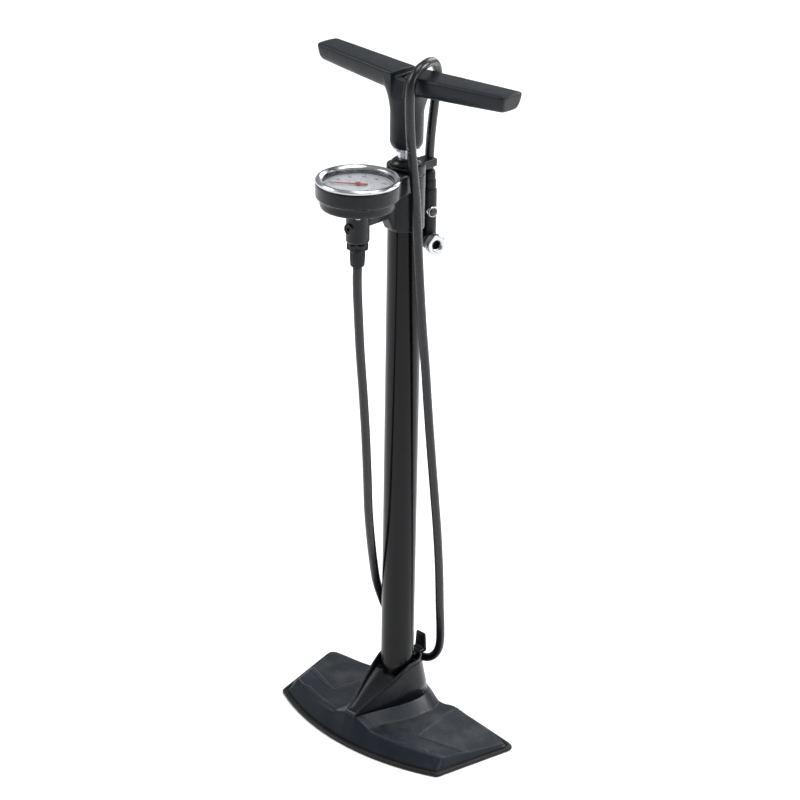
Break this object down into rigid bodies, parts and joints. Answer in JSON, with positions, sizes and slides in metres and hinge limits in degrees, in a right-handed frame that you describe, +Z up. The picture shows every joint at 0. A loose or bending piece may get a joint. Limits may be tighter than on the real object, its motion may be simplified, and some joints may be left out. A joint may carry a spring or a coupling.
{
  "type": "floor bike pump",
  "caption": "Floor-standing bicycle track pump with a winged base, T handle, top-mounted pressure gauge and a stored hose with a valve head.",
  "frame": {"origin": "on the barrel axis at floor level", "axes": "+Z up along the barrel, -Y towards the gauge and the front edge of the base, +X to the right handle wing"},
  "size_m": [0.2642, 0.15, 0.713],
  "materials": {
    "base_plastic": "satin moulded grain",
    "rim_rubber": "matte",
    "shroud_plastic": "semi gloss",
    "barrel_black": "gloss",
    "housing_plastic": "semi gloss",
    "handle_plastic": "satin moulded grain",
    "chrome": "polished",
    "steel": "machined",
    "aluminium": "machined",
    "brass": "machined",
    "glass": "clear",
    "dial_white": "printed",
    "needle_red": "painted",
    "seal_rubber": "matte",
    "hose_rubber": "semi gloss",
    "head_plastic": "satin",
    "button_black": "gloss",
    "piston_plastic": "natural"
  },
  "bodies": {
    "pump_body": {"sole": "rim_rubber", "sole_screws": "steel", "base_plate": "base_plastic", "shroud": "shroud_plastic", "foot_bolt": "steel", "foot_plug": "aluminium", "foot_rings": "seal_rubber", "check_spring": "steel", "barrel": "barrel_black", "inner_cylinder": "aluminium", "cylinder_head": "aluminium", "rod_guide": "housing_plastic", "rod_seal": "seal_rubber", "gauge_housing": "housing_plastic", "housing_screws": "steel", "top_cap": "housing_plastic", "bezel": "chrome", "lens": "glass", "dial": "dial_white", "bourdon_tube": "brass", "movement_frame": "brass", "outlet_body": "housing_plastic", "outlet_plug": "head_plastic", "hose_nut": "head_plastic", "hose_barb": "brass", "hose_ferrule": "head_plastic", "hose": "hose_rubber", "head_cap": "head_plastic", "head_sleeve": "head_plastic", "head_body": "head_plastic", "button_ring": "chrome", "button_spring": "steel", "nozzle_ring": "chrome", "valve_grommet": "seal_rubber", "depressor_pin": "brass"},
    "check_valve": {"check_poppet": "brass"},
    "sector": {"sector_gear": "brass"},
    "needle_body": {"needle": "needle_red", "needle_pinion": "brass"},
    "button": {"release_button": "button_black"},
    "nozzle": {"nozzle_collar": "chrome"},
    "piston": {"piston": "piston_plastic", "piston_ring": "seal_rubber", "piston_bolt": "steel"},
    "handle_and_rod": {"rod": "chrome", "rod_plugs": "aluminium", "stem_ring": "chrome", "handle": "handle_plastic", "handle_bolt": "steel"}
  },
  "joints": [
    {"name": "pump_stroke", "type": "slide", "parent": "pump_body", "child": "piston", "axis": [0, 0, 1], "range_m": [0, 0.45], "deforming": ["hose"]},
    {"name": "handle_turn", "type": "hinge", "parent": "piston", "child": "handle_and_rod", "pos_m": [0, 0, 0.6], "axis": [0, 0, 1], "continuous": true},
    {"name": "check_valve_lift", "type": "slide", "parent": "pump_body", "child": "check_valve", "axis": [0, 0, -1], "range_m": [0, 0.0015], "stiffness_N_per_m": 60, "springref_m": -0.001, "deforming": ["check_spring"]},
    {"name": "sector_turn", "type": "hinge", "parent": "pump_body", "child": "sector", "pos_m": [0, -0.043, 0.59], "axis": [0, 0, 1], "range_deg": [0, 42]},
    {"name": "needle_turn", "type": "hinge", "parent": "pump_body", "child": "needle_body", "pos_m": [0, -0.064, 0.59], "axis": [0, 0, 1], "range_deg": [-252, 0]},
    {"name": "release_button_press", "type": "slide", "parent": "pump_body", "child": "button", "axis": [-0.9588, 0.284, 0], "range_m": [0, 0.0015], "stiffness_N_per_m": 300, "springref_m": -0.001},
    {"name": "nozzle_collar_turn", "type": "hinge", "parent": "pump_body", "child": "nozzle", "pos_m": [0.01438, 0.02774, 0.523], "axis": [0.9588, -0.284, 0], "range_deg": [0, 360]}
  ],
  "couplings": [
    {"joint": "needle_turn", "follows": "sector_turn", "ratio": -6}
  ]
}
